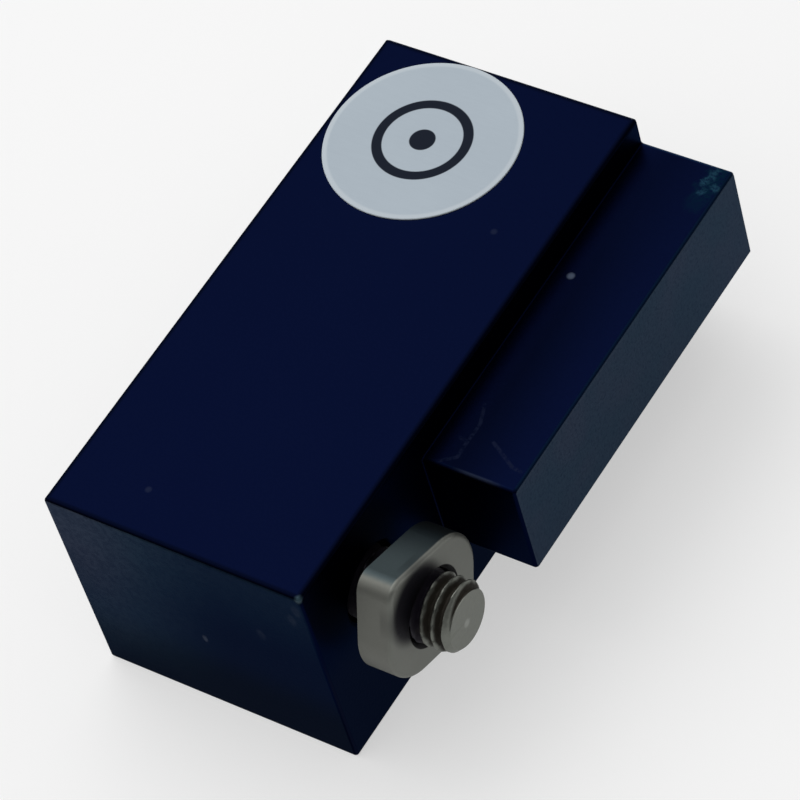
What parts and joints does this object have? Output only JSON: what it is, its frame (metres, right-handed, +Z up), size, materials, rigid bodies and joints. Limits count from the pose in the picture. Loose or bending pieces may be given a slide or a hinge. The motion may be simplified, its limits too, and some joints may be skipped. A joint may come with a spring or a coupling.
{
  "type": "magnetic sensor",
  "caption": "Block-shaped magnetic sensor with a side guide lug, a cross screw with quarter-turn slot nut to clamp it in a profile slot, and a recessed plug receptacle.",
  "frame": {"origin": "centre of the bottom of the bounding box", "axes": "+X out of the clamping side along the cross screw, +Y to the rear along the slot, +Z up"},
  "size_m": [0.0266, 0.042, 0.0175],
  "materials": {
    "anodised_blue": "dark navy anodised aluminium, semi-gloss, edges lightly worn",
    "zinc_steel": "zinc plated steel",
    "spring_steel": "plated spring steel",
    "nut_steel": "dull nickel or zinc plated steel, satin",
    "label_silver": "silver polyester sticker",
    "black_plastic": "glass-filled moulding, fine texture",
    "seal_rubber": "soft rubber",
    "gold_brass": "gold flashed brass",
    "clear_plastic": "clear polycarbonate",
    "led_lens": "clear epoxy",
    "board_laminate": "green solder mask",
    "chip_moulding": "black epoxy",
    "chip_ceramic": "tan ceramic",
    "potting": "dark cast resin"
  },
  "bodies": {
    "body": {"housing": "anodised_blue", "plain_washer": "zinc_steel", "label_disc": "label_silver", "end_cap": "black_plastic", "connector_insert": "black_plastic", "connector_o_ring": "seal_rubber", "contact_pins": "gold_brass", "light_pipe": "clear_plastic", "status_led": "led_lens", "circuit_board": "board_laminate", "hall_sensor": "chip_moulding", "signal_asic": "chip_moulding", "protection_diode": "chip_moulding", "voltage_regulator": "chip_moulding", "output_transistor": "chip_moulding", "surge_suppressor": "chip_ceramic", "capacitors": "chip_ceramic", "resistors": "chip_moulding", "potting_resin": "potting"},
    "screw": {"clamp_screw": "zinc_steel", "lock_washer": "spring_steel"},
    "nut": {"slot_nut": "nut_steel"}
  },
  "joints": [
    {"name": "screw_turn", "type": "hinge", "parent": "body", "child": "screw", "pos_m": [0.00637, -0.0146, 0.011], "axis": [1, 0, 0], "range_deg": [-721, 721]},
    {"name": "nut_travel", "type": "slide", "parent": "body", "child": "nut", "axis": [1, 0, 0], "range_m": [-0.0016, 0.0016]}
  ],
  "couplings": [
    {"joint": "screw_turn", "follows": "nut_travel", "rad_per_m": -7854}
  ]
}
